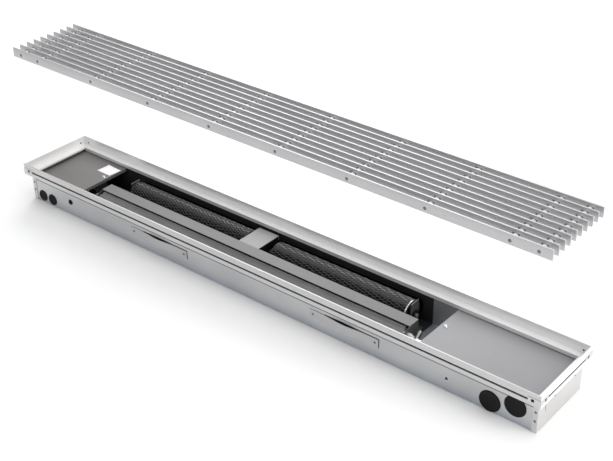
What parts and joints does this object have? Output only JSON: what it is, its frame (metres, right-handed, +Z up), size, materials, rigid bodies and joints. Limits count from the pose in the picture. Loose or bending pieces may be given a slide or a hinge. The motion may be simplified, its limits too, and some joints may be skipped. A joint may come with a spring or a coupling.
{
  "type": "trench convector heater",
  "caption": "Long shallow floor trough with a rim frame, lift-off linear grille, tilted finned heat exchanger and cross-flow fans with a centre motor.",
  "frame": {"origin": "bottom centre of the trough", "axes": "+X along the trough to the pipe end, -Y the front side with the entry plugs, +Z up"},
  "size_m": [1.3, 0.18, 0.3668],
  "materials": {
    "zinc_sheet": "satin zinc",
    "rim_alu": "satin anodised",
    "grille_alu": "satin anodised",
    "bright_steel": "plain",
    "black_plastic": "matt",
    "black_sheet": "matt black",
    "dark_sheet": "matt dark grey",
    "light_sheet": "satin",
    "fin_sheet": "matt dark grey",
    "copper_tube": "plain copper colour",
    "brass_fitting": "plain",
    "rubber_part": "matt",
    "grey_plastic": "matt",
    "white_plastic": "matt"
  },
  "bodies": {
    "trough": {"trough_tray": "zinc_sheet", "end_cap_left": "zinc_sheet", "end_cap_right": "zinc_sheet", "end_cap_rivets": "bright_steel", "cover_rests": "zinc_sheet", "rim_front": "rim_alu", "rim_back": "rim_alu", "rim_left": "rim_alu", "rim_right": "rim_alu", "rim_corner_blocks": "rim_alu", "rim_corner_screws": "black_plastic", "anchor_plates": "zinc_sheet", "anchor_rivets": "bright_steel", "pipe_entry_plugs": "black_plastic", "cable_entry_plugs": "black_plastic", "cable_grommet": "rubber_part", "cover_plate_left": "dark_sheet", "cover_plate_right": "light_sheet", "cover_brackets": "zinc_sheet", "cover_screws": "bright_steel", "coil_fins": "fin_sheet", "coil_tubes": "copper_tube", "coil_return_bends": "copper_tube", "coil_end_plate_left": "dark_sheet", "coil_end_plate_right": "dark_sheet", "pipe_connections": "brass_fitting", "air_vent_body": "brass_fitting", "air_guide_strip": "light_sheet", "motor_cover": "light_sheet", "fan_casing_left": "black_sheet", "fan_casing_right": "black_sheet", "fan_side_plates": "black_sheet", "bearing_stands": "dark_sheet", "shaft_bearings": "rubber_part", "fan_motor": "bright_steel", "motor_cradle": "zinc_sheet", "junction_box": "grey_plastic", "junction_box_lid": "grey_plastic", "box_lid_screws": "bright_steel", "terminal_block": "white_plastic", "cable_glands": "black_plastic", "wiring_loom": "rubber_part"},
    "fan_rotor": {"fan_shaft": "bright_steel", "impeller_left": "black_sheet", "impeller_right": "black_sheet"},
    "grille": {"grille_bars": "grille_alu", "grille_rods": "bright_steel", "grille_spacers": "bright_steel"},
    "vent_screw": {"air_vent_screw": "bright_steel"}
  },
  "joints": [
    {"name": "grille_lift", "type": "slide", "parent": "trough", "child": "grille", "axis": [0, 0, 1], "range_m": [-0.277, 0]},
    {"name": "fan_spin", "type": "hinge", "parent": "trough", "child": "fan_rotor", "pos_m": [-0.062, 0.0405, 0.034], "axis": [1, 0, 0], "continuous": true},
    {"name": "vent_turn", "type": "hinge", "parent": "trough", "child": "vent_screw", "pos_m": [0.358, -0.01886, 0.03564], "axis": [0, 0.7071, 0.7071], "range_deg": [0, 360]}
  ]
}
